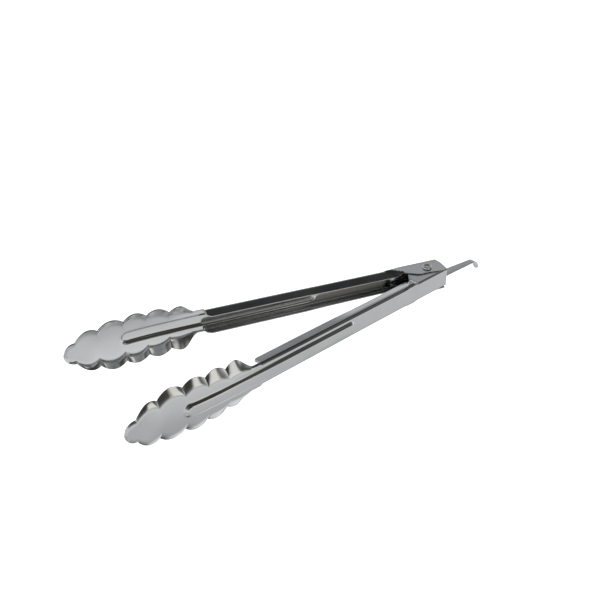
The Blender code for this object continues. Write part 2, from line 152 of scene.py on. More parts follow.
# Pull strip with its hanging hook
STRIP_ANGLE = 5.2
STRIP_LEVEL = -3.2
STRIP_THICKNESS = 1.2
STRIP_HALF_WIDTH = 4.4
STRIP_TAPER_START = 18.0
STRIP_BEND = 51.5
HOOK_HALF_WIDTH = 2.8
HOOK_RADIUS = 6.4
HOOK_SWEEP = 80.0
HOOK_TAIL = 3.0
HOOK_END = STRIP_BEND + HOOK_RADIUS * math.radians(HOOK_SWEEP) + HOOK_TAIL   # along the strip's middle
SHOULDER = ((-20.0, 5.6), (-18.5, 7.1), (-13.5, 7.1), (-12.0, STRIP_HALF_WIDTH))
TRAVEL = 20.0
SLOT_HALF_WIDTH = 2.7
SLOT_SIDES = 25             # points round each end of the slot
SLOT_CUT_REACH = 3.0        # the slot's cut runs this far above and below the strip
STRIP_EDGE_ROUND = 0.3      # radius of the strip's edges, as a share of its thickness

# Camera, seen from the rivet's middle
CAMERA_AZIMUTH = -32.76     # 0 looks along +Y
CAMERA_ELEVATION = 31.79
CAMERA_PLACE = (-456.6, -522.9, 404.5)
CAMERA_LENS = 59.74
SENSOR = 36.0
CAMERA_RANGE = (0.01, 50.0)   # nearest and farthest distance drawn, in metres

# Steels. Each has the two ends of its tint and of its roughness, the stretch of the drawn grain, the
# depth of the grain and of the sheet's waves in metres, and the angle of the grain in degrees.
DRAWN = (35.0, 900.0, 900.0)
STEELS = {
    "outer_arm_steel": ((0.59, 0.595, 0.60), (0.63, 0.635, 0.64), (0.11, 0.17), DRAWN, 0.0000005,
                        0.0001, OPEN_ANGLE),
    # Same steel as the outer arm, drawn darker: the lower tint is painted shade for the lesser light on
    # this arm.
    "inner_arm_steel": ((0.52, 0.525, 0.53), (0.56, 0.565, 0.57), (0.11, 0.17), DRAWN, 0.0000005,
                        0.0001, -OPEN_ANGLE),
    "sheared_edge": ((0.55, 0.55, 0.55), (0.68, 0.68, 0.68), (0.3, 0.45), (900.0, 900.0, 900.0),
                     0.00001, 0.00001, 0.0),
    "rivet_steel": ((0.62, 0.62, 0.63), (0.74, 0.74, 0.74), (0.08, 0.2), (700.0, 700.0, 700.0),
                    0.000006, 0.00003, 0.0),
    "spring_steel": ((0.30, 0.31, 0.33), (0.42, 0.43, 0.45), (0.2, 0.32), (500.0, 500.0, 900.0),
                     0.000006, 0.00001, 0.0),
    "strip_steel": ((0.60, 0.61, 0.62), (0.70, 0.71, 0.72), (0.24, 0.34), (1100.0, 60.0, 300.0),
                    0.000012, 0.00004, 0.0),
}
NOISE_RANGE = (0.3, 0.7)    # noise values between these are stretched over the whole output
SMUDGE_SCALE = 55.0
SMUDGE_ROUGHNESS = 0.03     # smudges change the roughness by up to this much
WAVE_SCALE = 38.0
WAVE_STRETCH = (0.45, 1.0, 1.0)

# Surroundings: brightness against elevation in degrees, behind the tool and in front of it. Below the
# horizon the steel mirrors them instead of the floor.
FAR_SKY = ((-90.0, 0.12), (-81.0, 0.18), (-72.0, 0.9), (-60.0, 1.1), (-52.0, 0.58), (-44.0, 0.62),
           (-32.0, 0.78), (-14.0, 0.95), (-4.0, 1.0), (0.0, 1.3), (5.0, 1.2), (8.0, 0.9), (11.0, 0.55),
           (14.5, 0.3), (18.0, 0.26), (26.0, 0.4), (33.0, 0.55), (40.0, 0.33), (48.0, 0.07),
           (55.0, 0.035), (90.0, 0.03))
NEAR_SKY = ((-90.0, 0.25), (-78.0, 0.4), (-60.0, 0.6), (-52.0, 0.66), (-44.0, 0.7), (-32.0, 0.82),
            (-18.0, 0.92), (-13.0, 1.0), (-7.0, 0.75), (-2.0, 0.3), (3.0, 0.16), (10.0, 0.1), (20.0, 0.06),
            (53.0, 0.05), (59.0, 0.42), (68.0, 0.42), (75.0, 0.05), (90.0, 0.03))
LOW_TINT = (0.985, 1.0, 1.0)
FAR_TINT = (0.97, 1.0, 1.02)
NEAR_TINT = (1.0, 0.96, 0.84)
NEAR_DIRECTION = (0.3, -0.954, 0.0)   # the middle of the front
NEAR_SHARE = (0.3, 0.95)    # the front's share grows between these two values of the cosine

# Lights, in metres and watts. The windows show in the steel, the ceiling lights don't.
WINDOW_PLACE = (0.153, -0.457, 0.115)
WINDOW_AIM = (-0.15, 0.0, 0.03)
WINDOW_SPACING = 0.03       # each window is this share of the distance further away
WINDOWS = ((0.17, 0.045), (0.23, 0.06), (0.29, 0.07))   # size and power, one behind the other
WINDOW_TINT = (1.0, 0.97, 0.91)
CEILING_LIGHTS = {          # place, size and power
    "key": ((1.2, 0.9, 1.8), 1.2, 16.0),
    "fill": ((-1.4, 0.6, 1.8), 1.4, 12.0),
}

# Floor
FLOOR_SIZE = 40.0           # half the length of its side, in metres
FLOOR_GREY = 0.82
FLOOR_ROUGHNESS = 0.9
FLOOR_GLOW = 0.95


def ramp(x, start, end):
    """A smooth step from 0 at start to 1 at end."""
    u = min(max((x - start) / (end - start), 0.0), 1.0)
    return u * u * (3.0 - 2.0 * u)


def piecewise(points, x):
    """Straight lines through (x, y) points in rising x."""
    if x <= points[0][0]:
        return points[0][1]
    for (x0, y0), (x1, y1) in zip(points, points[1:]):
        if x <= x1:
            return y0 + (y1 - y0) * (x - x0) / (x1 - x0)
    return points[-1][1]


def smooth_curve(points, x):
    """A smooth curve through (x, y) points in rising x, without overshoot."""
    if x <= points[0][0]:
        return points[0][1]
    if x >= points[-1][0]:
        return points[-1][1]
    slopes = [(y1 - y0) / (x1 - x0) for (x0, y0), (x1, y1) in zip(points, points[1:])]
    i = max(k for k in range(len(slopes)) if points[k][0] <= x)
    tangents = [slopes[0]]
    for before, after in zip(slopes, slopes[1:]):
        tangents.append(2 * before * after / (before + after) if before * after > 0.0 else 0.0)
    tangents.append(slopes[-1])
    (x0, y0), (x1, y1) = points[i], points[i + 1]
    width = x1 - x0
    u = (x - x0) / width
    return (y0 * (1 + 2 * u) * (1 - u) ** 2 + tangents[i] * width * u * (1 - u) ** 2
            + y1 * u * u * (3 - 2 * u) + tangents[i + 1] * width * u * u * (u - 1))


def scallops(s, cusps, bulges):
    """Half width of the head between its tip cusp and its last cusp."""
    for (s0, z0), (s1, z1), bulge in zip(cusps, cusps[1:], bulges):
        if s >= s1:
            u = (s0 - s) / (s0 - s1)
            return z0 + (z1 - z0) * u + bulge * max(math.sin(math.pi * u), 0.0) ** CUSP_SHARPNESS
    return cusps[-1][1]


def back_half_height(s, kind):
    plain = BACK_HALF_HEIGHT + BACK_TAPER * s
    ear = EAR_HALF_HEIGHT[kind]
    return ear + (plain - ear) * ramp(s, *EAR_RAMP)


def edge_half_width(s, kind, lean):
    """Half the distance between the two free edges of the sheet; lean is 1 for a flange that leans in."""
    corner = back_half_height(s, kind)
    if s < FLANGE_END:
        drop = (BACK_OFFSET - edge_level(s, kind)) / (BACK_OFFSET - FLANGE_EDGE)
        return corner - piecewise(TOE_IN, s) * drop * lean
    if s <= HEAD_START:
        return corner
    first_cusp = EDGE_CUSPS[0][0]
    last_cusp, last_z = EDGE_CUSPS[-1]
    peak_s, peak_z = EDGE_SHOULDER
    if s < peak_s:
        return corner + (peak_z - corner) * ramp(s, HEAD_START, peak_s)
    if s < last_cusp:
        u = (s - peak_s) / (last_cusp - peak_s)
        return last_z + (peak_z - last_z) * math.cos(math.pi * u / 2) ** CUSP_SHARPNESS
    if s < first_cusp:
        return scallops(s, EDGE_CUSPS, EDGE_BULGES)
    from_centre = min((s - first_cusp) / (ARM_LENGTH - first_cusp), 1.0)
    return TIP_RADIUS * math.sqrt(max(1.0 - from_centre ** 2, 0.01))


def plate_half_width(s, kind):
    """Half width of the flat between the two bends."""
    first_cusp, first_z = PLATE_CUSPS[0]
    last_cusp, last_z = PLATE_CUSPS[-1]
    if s < HEAD_START:
        return back_half_height(s, kind)
    if s < last_cusp:
        missing = last_z - back_half_height(last_cusp, kind)
        return back_half_height(s, kind) + missing * ramp(s, HEAD_START, last_cusp)
    if s < first_cusp:
        return scallops(s, PLATE_CUSPS, PLATE_BULGES)
    from_cusp = min((s - first_cusp) / (PLATE_TIP - first_cusp), 1.0)
    return first_z * math.sqrt(max(1.0 - from_cusp ** 2, 0.004))


def edge_level(s, kind):
    """How far the free edge stands from the plane that halves the tool, along n."""
    if s <= EAR_EDGE[kind][-1][0]:
        return smooth_curve(EAR_EDGE[kind], s)
    if s < HEAD_START:
        left = FLANGE_END - s
        if left >= FLANGE_CORNER:
            return FLANGE_EDGE
        if left > 0.0:
            into_corner = 1.0 - left / FLANGE_CORNER
            rise = FLANGE_CORNER * (1.0 - math.sqrt(max(1.0 - into_corner ** 2, 0.0)))
            return FLANGE_EDGE + rise
        return NOTCH_EDGE
    return smooth_curve(EDGE_CURVE, s)


def rib_rise(s, z):
    """Height of the rib's surface over the back; its outline is a long slot with round ends."""
    along = max(RIB_START + RIB_HALF_WIDTH - s, s - RIB_END + RIB_HALF_WIDTH, 0.0)
    inside = RIB_HALF_WIDTH - math.hypot(along, z)
    return RIB_HEIGHT * ramp(inside, 0.0, RIB_WALL)


def crown_slope(s):
    """How steeply the flat of the head falls towards the middle plane where its bends begin."""
    return math.tan(math.radians(CROWN_TILT)) * ramp(s, *CROWN_START) * (1.0 - ramp(s, *CROWN_END))


def half_section(s, kind):
    """Outer face of the arm at s, from the middle of the back to the free edge, as (z, n) points."""
    leaning = section_points(s, kind, 1.0)
    start, delay, length = CREASE
    if s > start + delay * BACK_OFFSET + length:
        return leaning
    points = []
    for (upright_z, upright_n), (lean_z, lean_n) in zip(section_points(s, kind, 0.0), leaning):
        crease = start + delay * max(lean_n, 0.0)
        share = ramp(s, crease, crease + length)
        points.append((upright_z + (lean_z - upright_z) * share, upright_n + (lean_n - upright_n) * share))
    return points


def section_points(s, kind, lean):
    """The same for a flange that leans in fully or, near the rivet, not at all."""
    corner_z = plate_half_width(s, kind)
    back_n = smooth_curve(PLATE_CURVE, s)
    edge_z = edge_half_width(s, kind, lean)
    edge_n = min(edge_level(s, kind), back_n - LEAST_RIM)
    slope = crown_slope(s)
    rim_length = math.hypot(back_n - edge_n, edge_z - corner_z)
    rough_turn = math.atan2(back_n - edge_n, edge_z - corner_z) - 2 * math.atan(slope)
    tangent = min(piecewise(BEND_RADIUS, s) * math.tan(rough_turn / 2), BEND_LIMITS[0] * rim_length,
                  BEND_LIMITS[1] * corner_z)
    flat_end = corner_z - tangent
    start = Vector((flat_end, back_n - slope * flat_end / 2))
    corner = Vector((corner_z, start.y - slope * tangent))
    rim_angle = math.atan2(corner.y - edge_n, edge_z - corner_z)
    weight = math.cos((rim_angle - math.atan(slope)) / 2)
    end = corner + Vector((math.cos(rim_angle), -math.sin(rim_angle))) * tangent
    bow = slope / (2 * flat_end)
    squeeze = min(1.0, flat_end / (RIB_GRID[-1] + RIB_MARGIN))
    widths = [z * squeeze for z in RIB_GRID]
    widths += [widths[-1] + (flat_end - widths[-1]) * k / FLAT_STEPS for k in range(1, FLAT_STEPS)]
    points = [(z, back_n + rib_rise(s, z) - bow * z * z) for z in widths]
    points += [tuple(point) for point in bend_points(start, corner, end, weight, BEND_STEPS)]
    for k in range(1, RIM_STEPS + 1):
        points.append(tuple(end.lerp(Vector((edge_z, edge_n)), k / RIM_STEPS)))
    return points


def bend_points(start, corner, end, weight, count):
    """Points of a bend that is tangent to both sides of a corner."""
    points = []
    for k in range(count + 1):
        u = k / count
        shares = ((1.0 - u) ** 2, 2.0 * u * (1.0 - u) * weight, u * u)
        points.append((start * shares[0] + corner * shares[1] + end * shares[2]) / sum(shares))
    return points


def rear_shift(s, n):
    """Rounds the ears' rear corners: sections behind the rivet are drawn forward near the back."""
    if s >= ROUND_START:
        return s
    rear = EAR_REAR + (BACK_REAR - EAR_REAR) * ramp(n, *EAR_ROUND)
    return ROUND_START + (s - ROUND_START) * (rear - ROUND_START) / (EAR_REAR - ROUND_START)


def spread(start, end, count):
    """Evenly spaced numbers from start up to, but not including, end."""
    return [start + (end - start) * k / count for k in range(count)]


def arm_stations():
    """Where the arm's sections stand, closer together where the shape changes."""
    stations = spread(EAR_REAR, 15.0, 18) + spread(15.0, 34.0, 38) + spread(34.0, RIB_START, 18)
    stations += spread(RIB_START, RIB_START + 7.0, 14) + spread(RIB_START + 7.0, 178.0, 28)
    stations += [FLANGE_END - FLANGE_CORNER * math.cos(math.pi * k / 24) for k in range(12)]
    stations += spread(FLANGE_END, EDGE_SHOULDER[0], 22)
    cusp_places = [EDGE_SHOULDER[0]] + [s for s, _ in reversed(EDGE_CUSPS)]
    stations += [cusp_places[0] + (cusp_places[1] - cusp_places[0]) * math.sin(math.pi * k / 24)
                 for k in range(12)]
    for near, far in zip(cusp_places[1:], cusp_places[2:]):
        middle = (near + far) / 2
        stations += [middle - (far - near) / 2 * math.cos(math.pi * k / 24) for k in range(24)]
    first_cusp = cusp_places[-1]
    stations += [first_cusp + (ARM_LENGTH - first_cusp) * math.sin(math.pi * k / 36) for k in range(19)]
    return sorted(stations)


def grid_normals(rows):
    """Outward unit normal at every point of a grid of points."""
    normals = []
    for i, row in enumerate(rows):
        before, after = rows[max(i - 1, 0)], rows[min(i + 1, len(rows) - 1)]
        line = []
        for k in range(len(row)):
            along = after[k] - before[k]
            across = row[min(k + 1, len(row) - 1)] - row[max(k - 1, 0)]
            line.append(across.cross(along).normalized())
        normals.append(line)
    return normals


def arm_rings(kind):
    """Closed rings of the sheet: the outer face, a rounded edge, the inner face and the other edge."""
    rows = []
    for s in arm_stations():
        half = half_section(s, kind)
        section = [(-z, n) for z, n in reversed(half[1:])] + half
        rows.append([Vector((rear_shift(s, n), n, z)) for z, n in section])
    normals = grid_normals(rows)
    rings = []
    for row, line in zip(rows, normals):
        if line[len(row) // 2].y < 0.0:
            line = [-normal for normal in line]
        inner = [point - normal * SHEET for point, normal in zip(row, line)]
        rings.append(round_edge(row, inner, 0)[::-1] + row[1:-1] + round_edge(row, inner, -1)
                     + inner[1:-1][::-1])
    return rings


def round_edge(outer, inner, end):
    """Points that round one free edge, from the outer face to the inner one."""
    neighbour = 1 if end == 0 else -2
    out = (outer[end] - outer[neighbour]).normalized()
    pull = EDGE_ROUND * min(1.0, (outer[end] - outer[neighbour]).length)
    points = []
    for k in range(EDGE_POINTS):
        turn = math.pi * k / (EDGE_POINTS - 1)
        middle = outer[end].lerp(inner[end], (1.0 - math.cos(turn)) / 2)
        points.append(middle - out * pull * (1.0 - math.sin(turn) ** 0.5))
    return points


def mark_edges(mesh, rings):
    """Gives the sheet's free edges and its two ends the second material."""
    count = len(rings[0])
    row = count // 2 + 2 - EDGE_POINTS
    first_edge = range(EDGE_POINTS - 1)
    second_edge = range(EDGE_POINTS + row - 2, 2 * EDGE_POINTS + row - 3)
    for number, face in enumerate(mesh.faces):
        turn = number % count
        if turn in first_edge or turn in second_edge or number >= count * (len(rings) - 1):
            face.material_index = 1


def loft(rings):
    """Closed body through equal rings; each end is closed by one face."""
    mesh = bmesh.new()
    layer = mesh.loops.layers.uv.new("sheet")
    rows = [[mesh.verts.new(point * MM) for point in ring] for ring in rings]
    count = len(rows[0])
    lengths = [0.0]
    for ring, following in zip(rings, rings[1:]):
        lengths.append(lengths[-1] + (following[count // 4] - ring[count // 4]).length)
    for r, (row, following) in enumerate(zip(rows, rows[1:])):
        for i in range(count):
            j = (i + 1) % count
            face = mesh.faces.new((row[i], row[j], following[j], following[i]))
            for loop, (along, turn) in zip(face.loops, ((r, i), (r, i + 1), (r + 1, i + 1), (r + 1, i))):
                loop[layer].uv = (lengths[along] * MM, turn / count)
    mesh.faces.new(rows[0])
    mesh.faces.new(rows[-1])
    bmesh.ops.recalc_face_normals(mesh, faces=mesh.faces[:])
    return mesh


def make_object(name, mesh, *materials, sharp=40.0):
    data = bpy.data.meshes.new(name)
    mesh.to_mesh(data)
    mesh.free()
    data.shade_smooth()
    data.set_sharp_from_angle(angle=math.radians(sharp))
    for material in materials:
        data.materials.append(material)
    obj = bpy.data.objects.new(name, data)
    bpy.context.scene.collection.objects.link(obj)
    return obj


def extrude_outline(outline, low, high):
    """Upright prism over an outline of (x, y) points."""
    mesh = bmesh.new()
    lower = [mesh.verts.new((x * MM, y * MM, low * MM)) for x, y in outline]
    upper = [mesh.verts.new((x * MM, y * MM, high * MM)) for x, y in outline]
    count = len(outline)
    for k in range(count):
        mesh.faces.new((lower[k], lower[(k + 1) % count], upper[(k + 1) % count], upper[k]))
    mesh.faces.new(lower)
    mesh.faces.new(upper)
    bmesh.ops.recalc_face_normals(mesh, faces=mesh.faces[:])
    return mesh


def circle(radius, sides, centre=0.0, first=0.0, sweep=360.0):
    """Points of an arc round (centre, 0); a full circle doesn't repeat its first point."""
    steps = sides if sweep == 360.0 else sides - 1
    angles = [math.radians(first + sweep * k / steps) for k in range(sides)]
    return [(centre + radius * math.cos(angle), radius * math.sin(angle)) for angle in angles]


def cut(obj, cutter_mesh):
    """Takes the cutter's shape out of obj and removes the cutter."""
    data = bpy.data.meshes.new("cutter")
    cutter_mesh.to_mesh(data)
    cutter_mesh.free()
    cutter = bpy.data.objects.new("cutter", data)
    bpy.context.scene.collection.objects.link(cutter)
    modifier = obj.modifiers.new("hole", "BOOLEAN")
    modifier.operation = "DIFFERENCE"
    modifier.solver = "EXACT"
    modifier.object = cutter
    bpy.context.view_layer.update()
    graph = bpy.context.evaluated_depsgraph_get()
    result = bpy.data.meshes.new_from_object(obj.evaluated_get(graph))
    obj.modifiers.clear()
    obj.data = result
    bpy.data.objects.remove(cutter, do_unlink=True)


def arm_to_tool(side):
    """Turns the arm's (s, n, z) into the tool's (x, y, z); side is 1 for the +Y arm, -1 for the other."""
    angle = math.radians(OPEN_ANGLE)
    along = Vector((-math.cos(angle), side * math.sin(angle), 0.0))
    outward = Vector((math.sin(angle), side * math.cos(angle), 0.0))
    return Matrix((along, outward, (0.0, 0.0, 1.0))).transposed().to_4x4()


def place(obj, pivot, body, node=None):
    """Puts a piece drawn round the rivet's middle where it belongs and ties it to its body."""
    obj.location = pivot
    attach(obj, body)
    if node:
        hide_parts(node)
    return obj


def build_arm(name, kind, side, material, edge_material):
    rings = arm_rings(kind)
    mesh = loft(rings)
    mark_edges(mesh, rings)
    bmesh.ops.transform(mesh, matrix=arm_to_tool(side), verts=mesh.verts[:])
    bmesh.ops.recalc_face_normals(mesh, faces=mesh.faces[:])
    arm = make_object(name, mesh, material, edge_material)
    cut(arm, extrude_outline(circle(HOLE_RADIUS, HOLE_SIDES), -CUT_REACH, CUT_REACH))
    return arm


def revolve(profile, sides):
    """Closed body of revolution about the rivet's axis; the profile's two ends lie on the axis."""
    mesh = bmesh.new()
    bottom = mesh.verts.new((0.0, 0.0, profile[0][1] * MM))
    top = mesh.verts.new((0.0, 0.0, profile[-1][1] * MM))
    rows = []
    for radius, z in profile[1:-1]:
        rows.append([mesh.verts.new((x * MM, y * MM, z * MM)) for x, y in circle(radius, sides)])
    for k in range(sides):
        following = (k + 1) % sides
        mesh.faces.new((bottom, rows[0][following], rows[0][k]))
        for row, above in zip(rows, rows[1:]):
            mesh.faces.new((row[k], row[following], above[following], above[k]))
        mesh.faces.new((top, rows[-1][k], rows[-1][following]))
    bmesh.ops.recalc_face_normals(mesh, faces=mesh.faces[:])
    return mesh


def rivet_profile():
    """Half outline of the rivet, from the plain head below to the dimpled head above."""
    under = EAR_HALF_HEIGHT["outer"] + HEAD_CLEARANCE
    top = under + HEAD_HEIGHT
    lower = [(0.0, -top)]
    for k in range(1, 9):
        turn = math.radians(88.0) * k / 8
        lower.append((HEAD_RADIUS * math.sin(turn), -under - HEAD_HEIGHT * math.cos(turn) ** 0.6))
    crown = [(HEAD_RADIUS, under)]
    middle = (HEAD_RADIUS + DIMPLE_RADIUS) / 2
    half = (HEAD_RADIUS - DIMPLE_RADIUS) / 2
    for k in range(1, 14):
        turn = math.pi * k / 13
        fall = HEAD_HEIGHT if turn < math.pi / 2 else DIMPLE_DEPTH
        rise = max(math.sin(turn), 0.0) ** 0.8
        crown.append((middle + half * math.cos(turn), top - fall * (1.0 - rise)))
    dimple = [(DIMPLE_RADIUS * part, top - DIMPLE_DEPTH - DIMPLE_DISH * (1.0 - part))
              for part in (0.8, 0.4)]
    shank = [(SHANK_RADIUS, -under), (SHANK_RADIUS, under)]
    return lower + shank + crown + dimple + [(0.0, top - DIMPLE_DEPTH - DIMPLE_DISH)]


def tube(path, radius, sides):
    """Closed round wire along a path; the rings keep the Z axis in their own plane."""
    rings = []
    for i, point in enumerate(path):
        along = (path[min(i + 1, len(path) - 1)] - path[max(i - 1, 0)]).normalized()
        across = along.cross(Vector((0.0, 0.0, 1.0))).normalized()
        upward = across.cross(along)
        size = radius * (0.75 if i in (0, len(path) - 1) else 1.0)
        rings.append([point + size * (across * x + upward * y) for x, y in circle(1.0, sides)])
    return loft(rings)


def coil_point(angle, height):
    return Vector((COIL_RADIUS * math.cos(angle), COIL_RADIUS * math.sin(angle), height))


def coil_ends():
    """Angles at which the wire enters the coil from the outer arm's leg and leaves to the inner one's."""
    leg_turn = math.radians(OPEN_ANGLE + COIL_LEAD)
    return math.pi / 2 - leg_turn, -math.pi / 2 + leg_turn - 2 * math.pi * int(COIL_TURNS)


def coil_path():
    start_angle, end_angle = coil_ends()
    steps = int(COIL_TURNS * COIL_STEPS)
    path = []
    for k in range(steps + 1):
        part = k / steps
        angle = start_angle + (end_angle - start_angle) * part
        path.append(coil_point(angle, COIL_TOP + (COIL_BOTTOM - COIL_TOP) * part))
    return path


def leg_path(side, angle, height):
    """A spring leg from its end on the arm's inside to the coil, bent a little where it meets the arm."""
    inner_face = BACK_OFFSET - SHEET - WIRE_RADIUS - LEG_CLEARANCE
    to_tool = arm_to_tool(side)
    end = to_tool @ Vector((LEG_END, inner_face, height))
    bend = to_tool @ Vector((LEG_END - LEG_BEND, inner_face, height))
    joint = coil_point(angle, height)
    path = [end, end.lerp(bend, 0.02)]
    path += [end.lerp(bend, k / 8) for k in range(1, 7)]
    for k in range(1, 8):
        u = k / 8
        path.append(end.lerp(bend, 0.75 + 0.25 * u).lerp(bend.lerp(joint, 0.12 * u), u))
    path += [bend.lerp(joint, 0.12 + 0.88 * k / 10) for k in range(11)]
    return path


def strip_half_width(run):
    """Half width of the strip at a distance run along its middle."""
    if run < SHOULDER[-1][0]:
        return piecewise(SHOULDER, run)
    if run < STRIP_BEND:
        taper = ((STRIP_TAPER_START, STRIP_HALF_WIDTH), (STRIP_BEND - 2.0, HOOK_HALF_WIDTH))
        return piecewise(taper, run)
    if run <= HOOK_END - HOOK_HALF_WIDTH:
        return HOOK_HALF_WIDTH
    from_centre = 1.0 - (HOOK_END - run) / HOOK_HALF_WIDTH
    return HOOK_HALF_WIDTH * math.sqrt(max(1.0 - from_centre ** 2, 0.01))


def strip_point(run, across, lift):
    """A point of the strip: run along it, across it, and lifted off its middle surface."""
    x, z, slope = run, 0.0, 0.0
    if run > STRIP_BEND:
        sweep = min((run - STRIP_BEND) / HOOK_RADIUS, math.radians(HOOK_SWEEP))
        tail = run - STRIP_BEND - HOOK_RADIUS * sweep
        x = STRIP_BEND + HOOK_RADIUS * math.sin(sweep) + tail * math.cos(sweep)
        z = -HOOK_RADIUS * (1.0 - math.cos(sweep)) - tail * math.sin(sweep)
        slope = sweep
    return Vector((x + lift * math.sin(slope), across, STRIP_LEVEL + z + lift * math.cos(slope)))


def strip_rings():
    """Cross sections of the strip, with rounded edges."""
    runs = spread(SHOULDER[0][0], SHOULDER[1][0], 4) + spread(SHOULDER[1][0], SHOULDER[2][0], 3)
    runs += spread(SHOULDER[2][0], SHOULDER[3][0], 4) + spread(SHOULDER[3][0], STRIP_BEND, 30)
    runs += spread(STRIP_BEND, HOOK_END - HOOK_HALF_WIDTH, 32)
    runs += [HOOK_END - HOOK_HALF_WIDTH * math.cos(math.pi * k / 24) for k in range(13)]
    round_off = STRIP_THICKNESS * STRIP_EDGE_ROUND
    half_thick = STRIP_THICKNESS / 2
    rings = []
    for run in runs:
        half = strip_half_width(run)
        soft = min(round_off, half * 0.5)
        corners = [(half - soft, half_thick - soft, turn) for turn in (90, 60, 30, 0)]
        corners += [(half - soft, soft - half_thick, turn) for turn in (0, -30, -60, -90)]
        corners += [(soft - half, soft - half_thick, turn) for turn in (-90, -120, -150, -180)]
        corners += [(soft - half, half_thick - soft, turn) for turn in (180, 150, 120, 90)]
        ring = []
        for across, lift, turn in corners:
            angle = math.radians(turn)
            ring.append(strip_point(run, across + soft * math.cos(angle), lift + soft * math.sin(angle)))
        rings.append(ring)
    return rings


def build_strip(material):
    strip = make_object("pull_strip", loft(strip_rings()), material)
    slot = circle(SLOT_HALF_WIDTH, SLOT_SIDES, 0.0, -90.0, 180.0)
    slot += circle(SLOT_HALF_WIDTH, SLOT_SIDES, -TRAVEL, 90.0, 180.0)
    cut(strip, extrude_outline(slot, STRIP_LEVEL - SLOT_CUT_REACH, STRIP_LEVEL + SLOT_CUT_REACH))
    strip.data.transform(Matrix.Rotation(math.radians(STRIP_ANGLE), 4, "Z"))
    return strip


class Nodes:
    """Short spelling for building a material's or a world's node tree."""

    def __init__(self, owner, shader="Principled BSDF"):
        owner.use_nodes = True
        self.tree = owner.node_tree
        self.shader = self.tree.nodes[shader]

    def add(self, kind, **settings):
        node = self.tree.nodes.new(kind)
        for name, value in settings.items():
            if name in node.inputs:
                node.inputs[name].default_value = value
            else:
                setattr(node, name, value)
        return node

    def link(self, output, target):
        self.tree.links.new(output, target)

    def stretched_noise(self, source, stretch, scale, detail=3.0, roughness=0.55):
        mapping = self.add("ShaderNodeMapping")
        mapping.inputs["Scale"].default_value = stretch
        noise = self.add("ShaderNodeTexNoise", Scale=scale, Detail=detail, Roughness=roughness)
        self.link(source, mapping.inputs["Vector"])
        self.link(mapping.outputs["Vector"], noise.inputs["Vector"])
        return noise.outputs["Fac"]

    def spread_to(self, value, low, high):
        """Maps a noise value, which stays near its middle, to the range low to high."""
        remap = self.add("ShaderNodeMapRange")
        remap.inputs["From Min"].default_value = NOISE_RANGE[0]
        remap.inputs["From Max"].default_value = NOISE_RANGE[1]
        remap.inputs["To Min"].default_value = low
        remap.inputs["To Max"].default_value = high
        self.link(value, remap.inputs["Value"])
        return remap.outputs["Result"]

    def bump(self, height, distance, before=None):
        node = self.add("ShaderNodeBump", Strength=1.0, Distance=distance)
        self.link(height, node.inputs["Height"])
        if before:
            self.link(before, node.inputs["Normal"])
        return node.outputs["Normal"]


def steel(name, dark, light, rough, grain, grain_depth, wave_depth, turn):
    """Bright steel: smudged tint, fine grain and slight waviness."""
    material = bpy.data.materials.new(name)
    nodes = Nodes(material)
    shader = nodes.shader
    shader.inputs["Metallic"].default_value = 1.0
    place_node = nodes.add("ShaderNodeTexCoord")
    rotate = nodes.add("ShaderNodeMapping")
    rotate.inputs["Rotation"].default_value = (0.0, 0.0, math.radians(turn))
    nodes.link(place_node.outputs["Object"], rotate.inputs["Vector"])
    own = rotate.outputs["Vector"]
    lines = nodes.stretched_noise(own, grain, 1.0, detail=4.0, roughness=0.6)
    smudge = nodes.stretched_noise(own, (1.0, 1.0, 1.0), SMUDGE_SCALE, detail=4.0)
    waves = nodes.stretched_noise(own, WAVE_STRETCH, WAVE_SCALE, detail=1.0)

    tint = nodes.add("ShaderNodeMix", data_type="RGBA")
    tint.inputs["A"].default_value = (*dark, 1.0)
    tint.inputs["B"].default_value = (*light, 1.0)
    nodes.link(nodes.spread_to(smudge, 0.0, 1.0), tint.inputs["Factor"])
    nodes.link(tint.outputs["Result"], shader.inputs["Base Color"])

    blend = nodes.add("ShaderNodeMath", operation="ADD")
    nodes.link(nodes.spread_to(lines, *rough), blend.inputs[0])
    nodes.link(nodes.spread_to(smudge, -SMUDGE_ROUGHNESS, SMUDGE_ROUGHNESS), blend.inputs[1])
    nodes.link(blend.outputs["Value"], shader.inputs["Roughness"])

    normal = nodes.bump(waves, wave_depth)
    normal = nodes.bump(lines, grain_depth, normal)
    nodes.link(normal, shader.inputs["Normal"])
    return material


def build_floor():
    """A pale floor. The steel mirrors the lower half of the surroundings instead of it."""
    mesh = bmesh.new()
    bmesh.ops.create_grid(mesh, x_segments=1, y_segments=1, size=FLOOR_SIZE)
    material = bpy.data.materials.new("studio_floor")
    shader = Nodes(material).shader
    shader.inputs["Base Color"].default_value = (FLOOR_GREY, FLOOR_GREY, FLOOR_GREY, 1.0)
    shader.inputs["Roughness"].default_value = FLOOR_ROUGHNESS
    shader.inputs["Specular IOR Level"].default_value = 0.0
    shader.inputs["Emission Color"].default_value = (1.0, 1.0, 1.0, 1.0)
    shader.inputs["Emission Strength"].default_value = FLOOR_GLOW
    floor = make_object("studio_floor", mesh, material)
    floor.visible_glossy = False


def sky_bands(nodes, elevation, sky, tint):
    """Colours by elevation, with their own tint above the horizon; elevation runs from 0 to 1."""
    bands = nodes.add("ShaderNodeValToRGB")
    nodes.link(elevation, bands.inputs["Fac"])
    stops = bands.color_ramp.elements
    for degrees, _ in sky[1:-1]:
        stops.new((degrees + 90.0) / 180.0)
    for stop, (degrees, brightness) in zip(stops, sky):
        own_tint = tint if degrees > 0.0 else LOW_TINT
        stop.color = (*(brightness * part for part in own_tint), 1.0)
    return bands.outputs["Color"]


